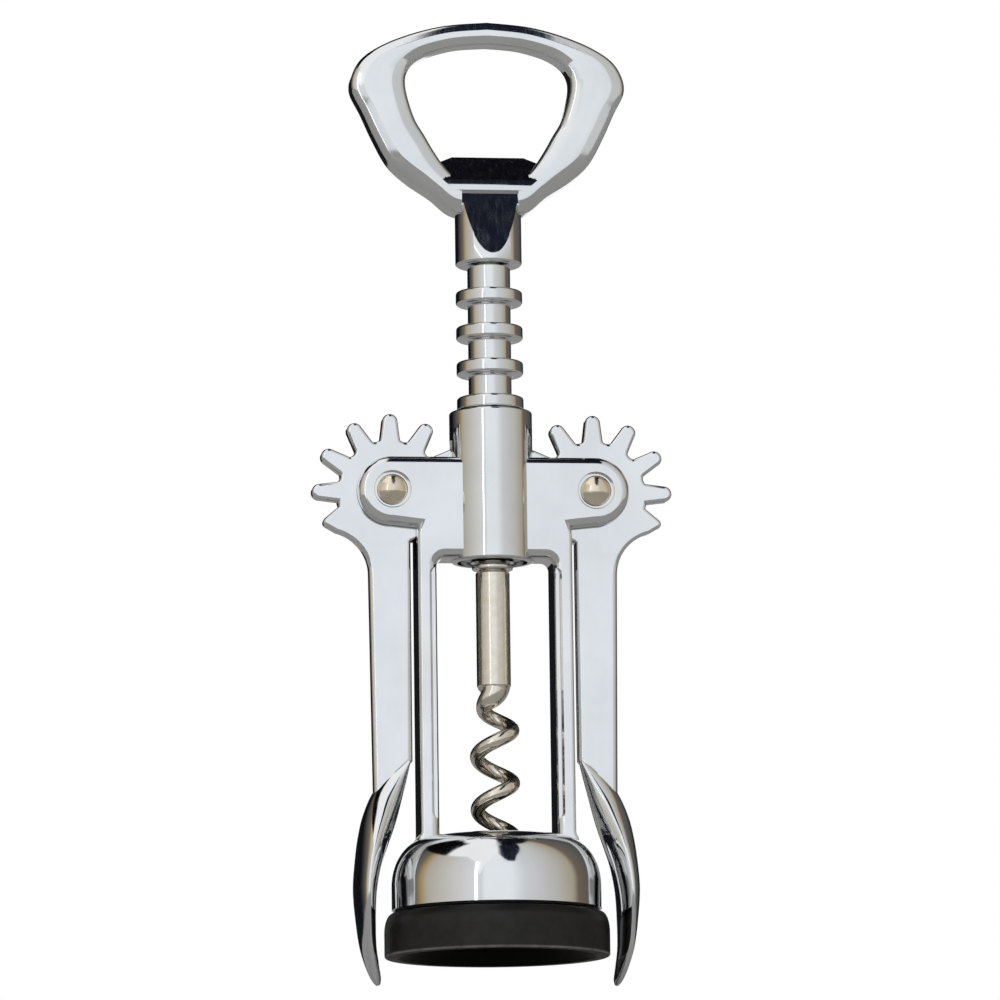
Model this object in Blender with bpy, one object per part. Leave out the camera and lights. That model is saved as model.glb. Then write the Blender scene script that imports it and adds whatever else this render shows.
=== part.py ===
"""Wing corkscrew: a cast frame with a bottle bell, two geared levers, a ringed rack and a turning worm.

Metres, +Z up. The origin is under the worm's axis, level with the tips of the lowered levers.
The levers hinge in the XZ plane, and the front of the object looks along -Y.
"""

import math

import bmesh
import bpy
from mathutils import Vector

# Clearances and shared values
GAP = 0.0003
RUNNING_GAP = 0.0003
OVERRUN = 0.002

# The gear train: one tooth of a pinion for each ring of the rack
RING_PITCH = 0.00666
TEETH_PER_TURN = 12
TEETH_FROM_LEVEL = 7
TOOTH_ADDENDUM = 0.0019
TOOTH_DEDENDUM = 0.00267
TOOTH_TIP_WIDTH = 0.0029
TOOTH_FOOT_WIDTH = 0.0037
PITCH_RADIUS = RING_PITCH * TEETH_PER_TURN / math.tau
TIP_RADIUS = PITCH_RADIUS + TOOTH_ADDENDUM
ROOT_RADIUS = PITCH_RADIUS - TOOTH_DEDENDUM

# The ringed rack
RING_RADIUS = 0.0062
RING_HEIGHT = 0.0026
RING_CHAMFER = 0.00045
RINGS_ABOVE_PIVOTS = 6
TOP_GROOVE = 0.0048
RACK_STEPS = 24
RACK_BORE_RADIUS = 0.0026
GROOVE_RADIUS = RING_RADIUS - TOOTH_ADDENDUM - RUNNING_GAP

# Where the levers hinge
PIVOT_SPREAD = RING_RADIUS + PITCH_RADIUS
PIVOT_PIN_RADIUS = 0.002
LEVER_REACH = 0.0911
PIVOT_Z = LEVER_REACH

# The levers
LEVER_THICKNESS = 0.0032
LEVER_EDGE = 0.0006
ARM_WIDTH = 0.0078
ARM_TAPER = 0.0005
ARM_INSET = 0.0036
ARM_LENGTH = 0.0565
ARM_FILLET = 0.0079
ARM_FILLET_DROP = 0.0152
STUB_REACH = 0.0129
STUB_ROUND = 0.00095
PADDLE_LENGTH = 0.0411
PADDLE_CLEARANCE = 0.0014
PADDLE_WIDTH = 0.0154
PADDLE_CROWN = 0.0029
PADDLE_BELLY_SHARE = 0.73
STUB_TURN = 206
PADDLE_LENS = 1.35

# The frame casting: sleeve, ears, legs and bell
SLEEVE_RADIUS = 0.0077
SLEEVE_HEIGHT = 0.0282
SLEEVE_EDGE = 0.0005
SLEEVE_PROUD = 0.0004
SLEEVE_BORE_RADIUS = RING_RADIUS + GAP
BRIDGE_DROP = 0.0126
EAR_RADIUS = 0.0063
EAR_SLANT = 0.0005
FRAME_DEPTH = 0.0098
FRAME_EDGE = 0.0012
SPOT_RADIUS = 0.0037
SPOT_DEPTH = 0.0004
LEG_GAP = 0.0009
LEG_WIDTH = 0.0036
LEG_FOOT = 0.0016
LEG_SINK_SHARE = 0.9
WINDOW_CORNER = 0.0015
BELL_SHOULDER = 0.009
BELL_HEIGHT = 0.0137
BELL_WALL = 0.0024
BELL_MOUTH_RADIUS = 0.0103
BELL_SEAT_WIDTH = 0.0021

# The black collar that lines the mouth of the bell
COLLAR_RIM_Z = 0.0051
COLLAR_HEIGHT = 0.008
COLLAR_OVERHANG = 0.0014
COLLAR_SHOULDER = 0.0036
COLLAR_SPIGOT = 0.0035
COLLAR_SPIGOT_WALL = 0.0013
COLLAR_LIP = 0.0004
COLLAR_FLARE = 0.003
BOTTLE_RADIUS = 0.0148
BOTTLE_CLEARANCE = 0.0005

# The spindle: worm, shank, washer and handle
SHAFT_RADIUS = RACK_BORE_RADIUS - GAP
SHANK_RADIUS = 0.00315
SHANK_LENGTH = 0.0212
WASHER_RADIUS = 0.0038
WASHER_THICKNESS = 0.0011
WORM_RADIUS = 0.00325
WORM_WIRE_RADIUS = 0.0015
WORM_POINT_RADIUS = 0.0002
WORM_PITCH = 0.0098
WORM_LENGTH = 0.0456
WORM_BLEND = 0.0065
WORM_START_SHARE = 0.82
WORM_POINT_SHARE = 0.6
WORM_NECK_SHARE = 0.6
HUB_RADIUS = 0.0062
HUB_HEIGHT = 0.0135
HUB_SOCKET_DEPTH = 0.0085
SCOOP_HEIGHT = 0.0118
SCOOP_DEPTH = 0.0044
SCOOP_WIDTH = 0.0106
HANDLE_PIN_RADIUS = 0.0009
HANDLE_PIN_RISE = 0.0038
LOOP_WIDTH = 0.0514
LOOP_HEIGHT = 0.0372
LOOP_DEPTH = 0.0076
LOOP_OVERLAP = 0.0046
LOOP_SQUARENESS = 0.62
LIP_WIDTH = 0.0192
LIP_RISE = 0.0117
LIP_BEVEL = 0.0049
LIP_EDGE = 0.0012

# Radii and widths that follow from what each piece fits
COLLAR_BORE_RADIUS = BOTTLE_RADIUS + BOTTLE_CLEARANCE
BELL_RADIUS = COLLAR_BORE_RADIUS + COLLAR_SPIGOT_WALL + GAP + BELL_WALL
BELL_CROWN_RADIUS = BELL_MOUTH_RADIUS + BELL_SEAT_WIDTH
COLLAR_RADIUS = BELL_RADIUS + COLLAR_OVERHANG
LEG_OUTER = PIVOT_SPREAD - ARM_INSET - LEG_GAP
LEG_INNER = LEG_OUTER - LEG_WIDTH
PADDLE_ROOT_X = PIVOT_SPREAD - ARM_INSET + LEVER_EDGE
PADDLE_BELLY_X = COLLAR_RADIUS + PADDLE_CLEARANCE + PADDLE_CROWN * PADDLE_BELLY_SHARE
PADDLE_SWEEP = PADDLE_BELLY_X - PADDLE_ROOT_X

# Heights worked out from the sizes
BELL_BASE_Z = COLLAR_RIM_Z + COLLAR_HEIGHT + GAP
BELL_TOP_Z = BELL_BASE_Z + BELL_HEIGHT
BRIDGE_Z = PIVOT_Z - BRIDGE_DROP
SLEEVE_BASE_Z = BRIDGE_Z - SLEEVE_PROUD
SLEEVE_TOP_Z = SLEEVE_BASE_Z + SLEEVE_HEIGHT
RACK_BASE_Z = SLEEVE_BASE_Z
HUB_BASE_Z = PIVOT_Z + RING_PITCH * (RINGS_ABOVE_PIVOTS - 0.5) + RING_HEIGHT / 2 + TOP_GROOVE
RACK_TOP_Z = HUB_BASE_Z - GAP
WASHER_TOP_Z = RACK_BASE_Z - GAP
SHANK_TOP_Z = WASHER_TOP_Z - WASHER_THICKNESS - GAP
SHANK_BASE_Z = SHANK_TOP_Z - SHANK_LENGTH
HUB_TOP_Z = HUB_BASE_Z + HUB_HEIGHT
LOOP_BASE_Z = HUB_TOP_Z - LOOP_OVERLAP
LIP_TOP_Z = LOOP_BASE_Z + LIP_RISE
SLOT_WIDTH = LEVER_THICKNESS + 2 * RUNNING_GAP
ROUND_STEPS = 40

# Half of the loop's outline, from the middle of its foot round to the middle of its top:
# shares of half its width and of its height
LOOP_OUTER_SHARES = (
    (0.0, 0.02), (0.25, 0.02), (0.42, 0.108), (0.59, 0.185), (0.73, 0.275), (0.835, 0.405), (0.92, 0.535),
    (1.0, 0.655), (0.965, 0.76), (0.86, 0.84), (0.64, 0.918), (0.33, 0.978), (0.0, 1.0),
)
LOOP_INNER_SHARES = (
    (0.0, 0.186), (0.2, 0.19), (0.3, 0.235), (0.4, 0.335), (0.47, 0.42), (0.53, 0.49), (0.575, 0.58),
    (0.602, 0.67), (0.59, 0.735), (0.53, 0.79), (0.41, 0.835), (0.22, 0.872), (0.0, 0.885),
)
# How deep the loop is from front to back at those places, as shares of its greatest depth
LOOP_DEPTH_SHARES = (1.0, 1.0, 1.0, 1.0, 0.98, 0.96, 0.95, 0.94, 0.92, 0.86, 0.8, 0.76, 0.75)
# The cap lifter from its top edge down: shares of its bevel's height, of its width and of the depth
# between its edge and the loop's full depth
LIP_SHARES = ((0.0, 0.7, 0.0), (0.27, 1.0, 0.27), (1.0, 0.92, 1.0), (1.38, 0.7, 1.0))

# The paddle at the end of a lever, from where it leaves the arm down to its tip. Each row has shares
# of the length, the outward sweep, the width, the outer crown and the inner crown
PADDLE_SHARES = (
    (1.0, 0.0, 0.2, 0.25, 0.1),
    (0.93, 0.2, 0.27, 0.75, 0.45),
    (0.83, 0.47, 0.42, 1.08, 0.85),
    (0.73, 0.66, 0.66, 1.16, 0.98),
    (0.64, 0.81, 0.85, 1.03, 0.96),
    (0.54, 0.93, 0.97, 0.86, 0.84),
    (0.42, 1.0, 1.0, 0.76, PADDLE_BELLY_SHARE),
    (0.28, 0.99, 0.93, 0.62, 0.6),
    (0.17, 0.95, 0.8, 0.5, 0.5),
    (0.08, 0.85, 0.6, 0.4, 0.38),
    (0.025, 0.77, 0.38, 0.28, 0.28),
    (0.0, 0.73, 0.16, 0.12, 0.12),
)


def clear_scene():
    for item in list(bpy.data.objects):
        bpy.data.objects.remove(item)


def material(name, colour, roughness, metallic):
    made = bpy.data.materials.new(name)
    made.use_nodes = True
    shader = made.node_tree.nodes["Principled BSDF"]
    shader.inputs["Base Color"].default_value = (*colour, 1.0)
    shader.inputs["Roughness"].default_value = roughness
    shader.inputs["Metallic"].default_value = metallic
    made.diffuse_color = (*colour, 1.0)
    return made


def object_of(name, mesh, look=None, place=(0.0, 0.0, 0.0)):
    made = bpy.data.objects.new(name, mesh)
    made.location = place
    bpy.context.scene.collection.objects.link(made)
    if look and not mesh.materials:
        mesh.materials.append(look)
    return made


def mesh_from(name, shape):
    """Finishes a bmesh: outward faces, smooth shading with sharp edges kept."""
    bmesh.ops.recalc_face_normals(shape, faces=shape.faces)
    mesh = bpy.data.meshes.new(name)
    shape.to_mesh(mesh)
    shape.free()
    mesh.shade_smooth()
    mesh.set_sharp_from_angle(angle=math.radians(35))
    return mesh


def revolve_shape(profile, steps=ROUND_STEPS, offset=0.0):
    """Turns a closed or axis-to-axis profile of (radius, height) about Z, its sides offset in steps."""
    shape = bmesh.new()
    rings = []
    for radius, height in profile:
        if radius == 0:
            rings.append([shape.verts.new((0, 0, height))])
            continue
        ring = []
        for step in range(steps):
            turn = math.tau * (step + offset) / steps
            ring.append(shape.verts.new((radius * math.cos(turn), radius * math.sin(turn), height)))
        rings.append(ring)
    closed = len(rings[0]) > 1
    pairs = list(zip(rings, rings[1:]))
    if closed:
        pairs.append((rings[-1], rings[0]))
    for upper, lower in pairs:
        for step in range(steps):
            after = (step + 1) % steps
            corners = [
                upper[step % len(upper)], upper[after % len(upper)],
                lower[after % len(lower)], lower[step % len(lower)],
            ]
            face = list(dict.fromkeys(corners))
            if len(face) > 2:
                shape.faces.new(face)
    return shape


def extrude_outline(points, depth):
    """Makes a plate of an outline in the XZ plane, centred on Y = 0."""
    shape = bmesh.new()
    front = [shape.verts.new((x, -depth / 2, z)) for x, z in points]
    face = shape.faces.new(front)
    grown = bmesh.ops.extrude_face_region(shape, geom=[face])
    moved = [item for item in grown["geom"] if isinstance(item, bmesh.types.BMVert)]
    bmesh.ops.translate(shape, verts=moved, vec=(0, depth, 0))
    return shape


def loft_shape(rings, closed=False):
    """Skins rings of as many points each; an open loft has its ends filled."""
    shape = bmesh.new()
    made = [[shape.verts.new(point) for point in ring] for ring in rings]
    pairs = list(zip(made, made[1:]))
    if closed:
        pairs.append((made[-1], made[0]))
    for one, two in pairs:
        for step in range(len(one)):
            after = (step + 1) % len(one)
            shape.faces.new((one[step], one[after], two[after], two[step]))
    if not closed:
        shape.faces.new(made[0])
        shape.faces.new(made[-1])
    return shape


def arc(centre, radius, start, end, steps):
    """Points of an arc in degrees, both ends included."""
    points = []
    for step in range(steps + 1):
        turn = math.radians(start + (end - start) * step / steps)
        points.append((centre[0] + radius * math.cos(turn), centre[1] + radius * math.sin(turn)))
    return points


def smooth_rows(rows, spans):
    """A Catmull-Rom curve through rows of any number of values."""
    found = []
    last = len(rows) - 1
    for index in range(last):
        near = [rows[max(index - 1, 0)], rows[index], rows[index + 1], rows[min(index + 2, last)]]
        for step in range(spans):
            t = step / spans
            weights = (
                (-t + 2 * t**2 - t**3) / 2, (2 - 5 * t**2 + 3 * t**3) / 2,
                (t + 4 * t**2 - 3 * t**3) / 2, (-(t**2) + t**3) / 2,
            )
            found.append(tuple(
                sum(weight * row[place] for weight, row in zip(weights, near))
                for place in range(len(rows[0]))
            ))
    found.append(tuple(rows[-1]))
    return found


def inset_outline(points, distance):
    """Moves each side of a counter-clockwise outline inwards, with mitred corners."""
    moved = []
    for index, here in enumerate(points):
        before = Vector(here) - Vector(points[index - 1])
        after = Vector(points[(index + 1) % len(points)]) - Vector(here)
        one = Vector((-before.y, before.x)).normalized()
        two = Vector((-after.y, after.x)).normalized()
        mitre = (one + two) / (1 + one.dot(two))
        moved.append(tuple(Vector(here) + mitre * distance))
    return moved


def rounded_plate(points, depth, edge, steps):
    """A plate of an outline in the XZ plane, centred on Y = 0, with its edges rounded over."""
    front = []
    for step in range(steps + 1):
        turn = math.pi / 2 * step / steps
        y = -depth / 2 + edge * (1 - math.cos(turn))
        front.append((inset_outline(points, edge * (1 - math.sin(turn))), y))
    levels = front + [(outline, -y) for outline, y in reversed(front)]
    return loft_shape([[(x, y, z) for x, z in outline] for outline, y in levels])


def combine(target, tool, operation):
    """Adds a Boolean with a tool object, which stays as a hidden guide."""
    step = target.modifiers.new(tool.name, "BOOLEAN")
    step.operation = operation
    step.object = tool
    step.solver = "EXACT"
    tool.hide_render = True
    tool.display_type = "WIRE"


def finished_mesh(target):
    """The target's mesh with its modifiers worked in, for copies that share it."""
    bpy.context.view_layer.update()
    seen = target.evaluated_get(bpy.context.evaluated_depsgraph_get())
    return bpy.data.meshes.new_from_object(seen)


def tool_of(name, shape, place=(0.0, 0.0, 0.0)):
    return object_of(name, mesh_from(name, shape), place=place)


def disc_shape(radius, thickness, steps=ROUND_STEPS):
    """A disc in the XZ plane, centred on Y = 0."""
    return extrude_outline(arc((0, 0), radius, 0, 360 - 360 / steps, steps - 1), thickness)


def frame_outline():
    """Ears, bridge and legs as one outline, for the right half and then mirrored."""
    half = [(0, BRIDGE_Z)]
    corner = (LEG_INNER - WINDOW_CORNER, BRIDGE_Z - WINDOW_CORNER)
    half += arc(corner, WINDOW_CORNER, 90, 0, 3)
    sole = BELL_TOP_Z - BELL_WALL * LEG_SINK_SHARE
    half.append((LEG_INNER, sole))
    half.append((LEG_OUTER + LEG_FOOT / 2, sole))
    half += arc((LEG_OUTER + LEG_FOOT, BELL_TOP_Z + LEG_FOOT / 2), LEG_FOOT, 222, 180, 3)
    half.append((LEG_OUTER, PIVOT_Z - EAR_RADIUS - EAR_SLANT))
    half += arc((PIVOT_SPREAD, PIVOT_Z), EAR_RADIUS, -90, 90, 12)
    half.append((0, PIVOT_Z + EAR_RADIUS))
    mirrored = [(-x, z) for x, z in reversed(half) if x > 0]
    return half + mirrored


def bell_profile():
    """The bell's wall: up the outside, over the shoulder and down the hollow."""
    swell = BELL_RADIUS - BELL_CROWN_RADIUS
    shoulder_z = BELL_TOP_Z - BELL_SHOULDER
    outside = [(BELL_RADIUS, BELL_BASE_Z)]
    steps = 7
    for step in range(steps + 1):
        turn = math.pi / 2 * step / steps
        outside.append((
            BELL_CROWN_RADIUS + swell * math.cos(turn),
            shoulder_z + BELL_SHOULDER * math.sin(turn),
        ))
    inside = [(BELL_MOUTH_RADIUS, BELL_TOP_Z), (BELL_MOUTH_RADIUS, BELL_TOP_Z - BELL_WALL)]
    for step in range(4, -1, -1):
        turn = math.pi / 2 * step / 4
        inside.append((
            BELL_CROWN_RADIUS + (swell - BELL_WALL) * math.cos(turn),
            shoulder_z + (BELL_SHOULDER - BELL_WALL) * math.sin(turn),
        ))
    inside.append((BELL_RADIUS - BELL_WALL, BELL_BASE_Z))
    return outside + inside


def sleeve_profile():
    top = SLEEVE_TOP_Z
    return [
        (0, top), (SLEEVE_RADIUS - SLEEVE_EDGE, top), (SLEEVE_RADIUS, top - SLEEVE_EDGE),
        (SLEEVE_RADIUS, SLEEVE_BASE_Z + SLEEVE_EDGE), (SLEEVE_RADIUS - SLEEVE_EDGE, SLEEVE_BASE_Z),
        (0, SLEEVE_BASE_Z),
    ]


def make_frame(look):
    plate = rounded_plate(frame_outline(), FRAME_DEPTH, FRAME_EDGE, 3)
    frame = object_of("frame", mesh_from("frame", plate), look)
    combine(frame, tool_of("sleeve_tool", revolve_shape(sleeve_profile())), "UNION")
    combine(frame, tool_of("bell_tool", revolve_shape(bell_profile())), "UNION")
    bore = [
        (0, SLEEVE_TOP_Z + OVERRUN), (SLEEVE_BORE_RADIUS, SLEEVE_TOP_Z + OVERRUN),
        (SLEEVE_BORE_RADIUS, BRIDGE_Z - OVERRUN), (0, BRIDGE_Z - OVERRUN),
    ]
    combine(frame, tool_of("bore_tool", revolve_shape(bore, offset=0.5)), "DIFFERENCE")
    for side, word in ((-1, "left"), (1, "right")):
        pivot = (side * PIVOT_SPREAD, 0.0, PIVOT_Z)
        slot = disc_shape(TIP_RADIUS + RUNNING_GAP, SLOT_WIDTH)
        combine(frame, tool_of(f"{word}_slot_tool", slot, pivot), "DIFFERENCE")
        hole = disc_shape(PIVOT_PIN_RADIUS + GAP, FRAME_DEPTH + 2 * OVERRUN, 24)
        combine(frame, tool_of(f"{word}_hole_tool", hole, pivot), "DIFFERENCE")
        for face in (-1, 1):
            middle = face * (FRAME_DEPTH / 2 - SPOT_DEPTH + OVERRUN / 2)
            spot = disc_shape(SPOT_RADIUS, OVERRUN, 32)
            name = f"{word}_spot_{'front' if face < 0 else 'back'}_tool"
            combine(frame, tool_of(name, spot, (pivot[0], middle, PIVOT_Z)), "DIFFERENCE")
    return frame


def make_collar(look):
    """A moulded ring over the bell's edge, with a spigot up inside it and a flared mouth below."""
    top = COLLAR_RIM_Z + COLLAR_HEIGHT
    spigot_radius = BELL_RADIUS - BELL_WALL - GAP
    mouth_radius = COLLAR_BORE_RADIUS + COLLAR_FLARE
    profile = [(mouth_radius, COLLAR_RIM_Z), (COLLAR_RADIUS - COLLAR_LIP, COLLAR_RIM_Z)]
    profile.append((COLLAR_RADIUS, COLLAR_RIM_Z + COLLAR_LIP))
    for turn in (0, 15, 30, 45, 60, 75):
        swell = COLLAR_OVERHANG * math.cos(math.radians(turn))
        profile.append((BELL_RADIUS + swell, top + COLLAR_SHOULDER * (math.sin(math.radians(turn)) - 1)))
    profile += [
        (BELL_RADIUS, top), (spigot_radius, top), (spigot_radius, top + COLLAR_SPIGOT),
        (COLLAR_BORE_RADIUS, top + COLLAR_SPIGOT), (COLLAR_BORE_RADIUS, COLLAR_RIM_Z + COLLAR_FLARE),
    ]
    return object_of("bottle_collar", mesh_from("bottle_collar", revolve_shape(profile)), look)


def pin_profile():
    """Half of a rivet's outline: a plain shank between two domed heads."""
    seat = FRAME_DEPTH / 2 - SPOT_DEPTH + GAP
    head_radius = SPOT_RADIUS - 2 * GAP
    head_height = head_radius / 3
    dome = (head_radius**2 + head_height**2) / (2 * head_height)
    sweep = math.degrees(math.asin(head_radius / dome))
    upper = arc((0, seat + head_height - dome), dome, 90, 90 - sweep, 3)
    upper[0] = (0, upper[0][1])
    upper += [(PIVOT_PIN_RADIUS, seat)]
    lower = [(radius, -height) for radius, height in reversed(upper)]
    return upper + lower


def make_pin(mesh, name, side):
    pin = object_of(name, mesh, place=(side * PIVOT_SPREAD, 0.0, PIVOT_Z))
    pin.rotation_euler = (math.pi / 2, 0.0, 0.0)
    return pin


def tooth_outline(angle):
    """One finger-like tooth in the pinion's own plane, foot to foot in the sense of rising angle."""
    half_tip = TOOTH_TIP_WIDTH / 2
    half_foot = TOOTH_FOOT_WIDTH / 2
    shoulder = TIP_RADIUS - half_tip
    local = [(ROOT_RADIUS * math.cos(math.asin(half_foot / ROOT_RADIUS)), -half_foot)]
    local += arc((shoulder, 0), half_tip, -90, 90, 5)
    local.append((local[0][0], half_foot))
    turned = []
    for out, side in local:
        turned.append((
            out * math.cos(angle) - side * math.sin(angle),
            out * math.sin(angle) + side * math.cos(angle),
        ))
    return turned


def lever_outline():
    """The left lever's plate about its pivot: teeth from level round to level, a stub, then the arm."""
    tooth_step = math.tau / TEETH_PER_TURN
    points = []
    for index in range(TEETH_FROM_LEVEL):
        points += tooth_outline(index * tooth_step)
        valley = (index + 0.5) * tooth_step
        valley_radius = ROOT_RADIUS - TOOTH_TIP_WIDTH / 8
        points.append((valley_radius * math.cos(valley), valley_radius * math.sin(valley)))
    points.pop()
    outer_x = ARM_INSET - ARM_WIDTH
    points += arc((0, 0), ROOT_RADIUS, 192, 196, 1)
    stub = arc((0, 0), STUB_REACH, STUB_TURN, STUB_TURN, 1)[0]
    points += arc(stub, STUB_ROUND, 130, 255, 4)
    points += arc((outer_x - ARM_FILLET, -ARM_FILLET_DROP), ARM_FILLET, 76, 0, 7)
    spring = -(LEVER_REACH - PADDLE_LENGTH)
    arm_end = -ARM_LENGTH
    points += [
        (outer_x + ARM_TAPER, arm_end), (outer_x + ARM_WIDTH / 3, arm_end - ARM_WIDTH / 6),
        (ARM_INSET - ARM_WIDTH / 3, spring - ARM_WIDTH / 3), (ARM_INSET, spring),
    ]
    side_z = -math.sqrt(ROOT_RADIUS**2 - ARM_INSET**2)
    start = math.degrees(math.atan2(side_z, ARM_INSET))
    points += arc((0, 0), ROOT_RADIUS, start, -tooth_step / 2 * 180 / math.pi, 6)
    return points


def paddle_rings(spans, sides):
    """Leaf-shaped sections square to the paddle's own curve, in the left lever's frame."""
    rows = smooth_rows(PADDLE_SHARES, spans)
    spine = []
    for rise, sweep, width, outer, inner in rows:
        x = ARM_INSET - LEVER_EDGE - sweep * PADDLE_SWEEP
        z = -LEVER_REACH + rise * PADDLE_LENGTH
        spine.append((Vector((x, 0.0, z)), width, outer, inner))
    rings = []
    for index, (centre, width, outer, inner) in enumerate(spine):
        before = spine[max(index - 1, 0)][0]
        after = spine[min(index + 1, len(spine) - 1)][0]
        along = (after - before).normalized()
        outward = Vector((along.z, 0.0, -along.x))
        half_width = width * PADDLE_WIDTH / 2
        ring = []
        for step in range(sides):
            turn = math.tau * step / sides
            lift = math.cos(turn)
            crown = (outer if lift > 0 else inner) * PADDLE_CROWN
            height = math.copysign(abs(lift) ** PADDLE_LENS, lift) * crown
            ring.append(centre + outward * height + Vector((0.0, half_width * math.sin(turn), 0.0)))
        rings.append(ring)
    return rings


def make_levers(look):
    plate = tool_of("lever_plate", rounded_plate(lever_outline(), LEVER_THICKNESS, LEVER_EDGE, 2))
    left = object_of("left_lever", mesh_from("lever", loft_shape(paddle_rings(1, 16))), look)
    pivot = (-PIVOT_SPREAD, 0.0, PIVOT_Z)
    plate.location = pivot
    left.location = pivot
    combine(left, plate, "UNION")
    hole = disc_shape(PIVOT_PIN_RADIUS + RUNNING_GAP, LEVER_THICKNESS + 2 * OVERRUN, 24)
    combine(left, tool_of("lever_hole", hole, pivot), "DIFFERENCE")
    finished = finished_mesh(left)
    left.modifiers.clear()
    left.data = finished
    right = object_of("right_lever", finished, place=(PIVOT_SPREAD, 0.0, PIVOT_Z))
    right.rotation_euler = (0.0, 0.0, math.pi)


def rack_profile():
    """Groove, ring, groove, ring: a tube turned with one ring for each tooth."""
    outside = [(GROOVE_RADIUS, RACK_TOP_Z)]
    lowest = math.ceil((RACK_BASE_Z + RING_HEIGHT / 2 - PIVOT_Z) / RING_PITCH + 0.5)
    for index in range(RINGS_ABOVE_PIVOTS, lowest - 1, -1):
        middle = PIVOT_Z + RING_PITCH * (index - 0.5)
        high = middle + RING_HEIGHT / 2
        low = middle - RING_HEIGHT / 2
        outside += [
            (GROOVE_RADIUS, high), (RING_RADIUS - RING_CHAMFER, high), (RING_RADIUS, high - RING_CHAMFER),
            (RING_RADIUS, low + RING_CHAMFER), (RING_RADIUS - RING_CHAMFER, low), (GROOVE_RADIUS, low),
        ]
    if outside[-1][1] - RACK_BASE_Z > GAP:
        outside.append((GROOVE_RADIUS, RACK_BASE_Z))
    return outside + [(RACK_BORE_RADIUS, RACK_BASE_Z), (RACK_BORE_RADIUS, RACK_TOP_Z)]


def make_rack(look):
    return object_of("rack", mesh_from("rack", revolve_shape(rack_profile(), RACK_STEPS)), look)


def make_washer(look):
    low = WASHER_TOP_Z - WASHER_THICKNESS
    profile = [
        (WASHER_RADIUS, WASHER_TOP_Z), (WASHER_RADIUS, low),
        (SHAFT_RADIUS + GAP, low), (SHAFT_RADIUS + GAP, WASHER_TOP_Z),
    ]
    return object_of("thrust_washer", mesh_from("thrust_washer", revolve_shape(profile, RACK_STEPS)), look)


def worm_stations(steps_per_turn):
    """Centres and radii down the worm: shaft, shoulder, shank and the right-handed wire."""
    shaft_top = HUB_BASE_Z + HUB_SOCKET_DEPTH - GAP
    stations = [
        (Vector((0, 0, shaft_top)), SHAFT_RADIUS), (Vector((0, 0, SHANK_TOP_Z)), SHAFT_RADIUS),
        (Vector((0, 0, SHANK_TOP_Z)), SHANK_RADIUS), (Vector((0, 0, SHANK_BASE_Z)), SHANK_RADIUS),
    ]
    turns = WORM_LENGTH / WORM_PITCH
    steps = round(turns * steps_per_turn)
    for step in range(1, steps + 1):
        fallen = WORM_LENGTH * step / steps
        swing = min(fallen / WORM_BLEND, 1.0)
        ease = swing * swing * (3 - 2 * swing)
        angle = math.tau * (WORM_START_SHARE - fallen / WORM_PITCH)
        left_over = (WORM_LENGTH - fallen) / WORM_PITCH
        sharp = min(left_over / WORM_POINT_SHARE, 1.0)
        neck = max(1 - fallen / (WORM_BLEND * WORM_NECK_SHARE), 0.0)
        radius = WORM_POINT_RADIUS + (WORM_WIRE_RADIUS - WORM_POINT_RADIUS) * sharp
        radius += (SHANK_RADIUS - WORM_WIRE_RADIUS) * neck
        centre = Vector((
            WORM_RADIUS * ease * math.cos(angle), WORM_RADIUS * ease * math.sin(angle),
            SHANK_BASE_Z - fallen,
        ))
        stations.append((centre, radius))
    return stations


def tube_rings(stations, sides):
    """Round sections square to a path, carried along it without twist."""
    rings = []
    across = Vector((1, 0, 0))
    for index, (centre, radius) in enumerate(stations):
        before = stations[max(index - 1, 0)][0]
        after = stations[min(index + 1, len(stations) - 1)][0]
        along = (after - before).normalized()
        across = (across - along * across.dot(along)).normalized()
        beside = along.cross(across)
        ring = []
        for step in range(sides):
            turn = math.tau * step / sides
            ring.append(centre + (across * math.cos(turn) + beside * math.sin(turn)) * radius)
        rings.append(ring)
    return rings


def handle_pin_z():
    return HUB_BASE_Z + HANDLE_PIN_RISE


def pin_rod(radius, length, steps=12):
    """A plain rod along X, centred on the origin."""
    rings = []
    for x in (-length / 2, length / 2):
        rings.append([(x, y, z) for y, z in arc((0, 0), radius, 0, 360 - 360 / steps, steps - 1)])
    return loft_shape(rings)


def make_handle_pin(look):
    rod = pin_rod(HANDLE_PIN_RADIUS, 2 * (HUB_RADIUS - GAP))
    return object_of("handle_pin", mesh_from("handle_pin", rod), look, (0.0, 0.0, handle_pin_z()))


def make_worm(look):
    rings = tube_rings(worm_stations(12), 10)
    worm = object_of("worm", mesh_from("worm", loft_shape(rings)), look)
    cross_hole = pin_rod(HANDLE_PIN_RADIUS + GAP, 2 * (SHAFT_RADIUS + OVERRUN))
    combine(worm, tool_of("worm_cross_tool", cross_hole, (0.0, 0.0, handle_pin_z())), "DIFFERENCE")
    return worm


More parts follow.
